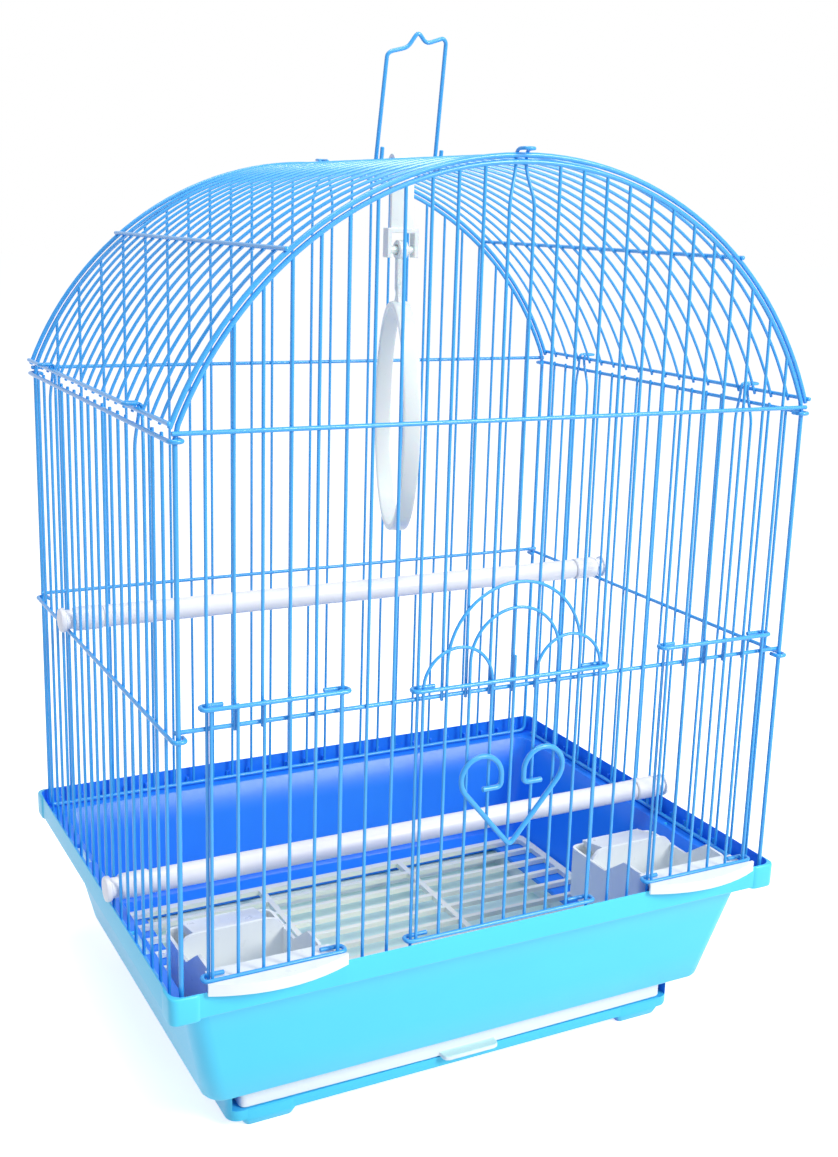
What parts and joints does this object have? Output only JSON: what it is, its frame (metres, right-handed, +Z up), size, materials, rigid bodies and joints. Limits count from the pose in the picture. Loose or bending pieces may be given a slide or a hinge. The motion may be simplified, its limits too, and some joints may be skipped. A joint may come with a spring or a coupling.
{
  "type": "round top bird cage",
  "caption": "Round top wire cage on a plastic base tub, with lift doors, hooded feeder cups, perches, a ring swing, a floor grate and a slide-out tray.",
  "frame": {"origin": "on the floor under the middle of the overall outline", "axes": "+Z up, -Y towards the front with the doors, +X to the right as seen from the front"},
  "size_m": [0.3478, 0.2706, 0.5287],
  "materials": {
    "painted_wire": "gloss",
    "tub_plastic": "gloss",
    "white_plastic": "gloss",
    "cup_plastic": "gloss",
    "grate_plastic": "satin"
  },
  "bodies": {
    "base": {"base_tub": "tub_plastic"},
    "wire_cage": {"front_panel": "painted_wire", "back_panel": "painted_wire", "left_side_panel": "painted_wire", "right_side_panel": "painted_wire", "roof_panel": "painted_wire", "lower_perch_rod": "white_plastic", "lower_perch_left_cap": "white_plastic", "lower_perch_right_cap": "white_plastic", "upper_perch_rod": "white_plastic", "upper_perch_left_cap": "white_plastic", "upper_perch_right_cap": "white_plastic"},
    "main_door": {"main_door": "painted_wire", "door_heart": "painted_wire"},
    "left_feeder_door": {"left_feeder_door": "painted_wire"},
    "right_feeder_door": {"right_feeder_door": "painted_wire"},
    "left_feeder_cup": {"left_feeder_cup": "cup_plastic"},
    "right_feeder_cup": {"right_feeder_cup": "cup_plastic"},
    "slide_tray": {"slide_tray": "white_plastic"},
    "floor_grate": {"floor_grate": "grate_plastic"},
    "carry_handle": {"carry_handle": "painted_wire"},
    "swing_hanger": {"swing_hanger": "white_plastic"},
    "swing_ring": {"swing_ring": "white_plastic"}
  },
  "joints": [
    {"name": "wire_cage_lift_off", "type": "slide", "parent": "base", "child": "wire_cage", "axis": [0, 0, 1], "range_m": [0, 0.06]},
    {"name": "main_door_lift", "type": "slide", "parent": "wire_cage", "child": "main_door", "axis": [0, 0, 1], "range_m": [0, 0.07]},
    {"name": "left_feeder_door_lift", "type": "slide", "parent": "wire_cage", "child": "left_feeder_door", "axis": [0, 0, 1], "range_m": [0, 0.11]},
    {"name": "right_feeder_door_lift", "type": "slide", "parent": "wire_cage", "child": "right_feeder_door", "axis": [0, 0, 1], "range_m": [0, 0.11]},
    {"name": "left_feeder_cup_lift", "type": "slide", "parent": "wire_cage", "child": "left_feeder_cup", "axis": [0, 0, 1], "range_m": [0, 0.044]},
    {"name": "right_feeder_cup_lift", "type": "slide", "parent": "wire_cage", "child": "right_feeder_cup", "axis": [0, 0, 1], "range_m": [0, 0.044]},
    {"name": "tray_slide", "type": "slide", "parent": "base", "child": "slide_tray", "axis": [0, -1, 0], "range_m": [0, 0.18]},
    {"name": "grate_lift_out", "type": "slide", "parent": "base", "child": "floor_grate", "axis": [0, 0, 1], "range_m": [0, 0.02]},
    {"name": "handle_tilt", "type": "hinge", "parent": "wire_cage", "child": "carry_handle", "pos_m": [0.003, 0.01108, 0.46415], "axis": [1, 0, 0], "range_deg": [-68, 78]},
    {"name": "swing_sway", "type": "hinge", "parent": "wire_cage", "child": "swing_hanger", "pos_m": [0, 0.01108, 0.46585], "axis": [1, 0, 0], "range_deg": [-18, 18]},
    {"name": "swing_ring_pivot", "type": "hinge", "parent": "swing_hanger", "child": "swing_ring", "pos_m": [0, 0.01108, 0.42085], "axis": [1, 0, 0], "range_deg": [-14, 14]}
  ],
  "couplings": [
    {"joint": "left_feeder_cup_lift", "follows": "left_feeder_door_lift", "ratio": 0.4},
    {"joint": "right_feeder_cup_lift", "follows": "right_feeder_door_lift", "ratio": 0.4}
  ]
}
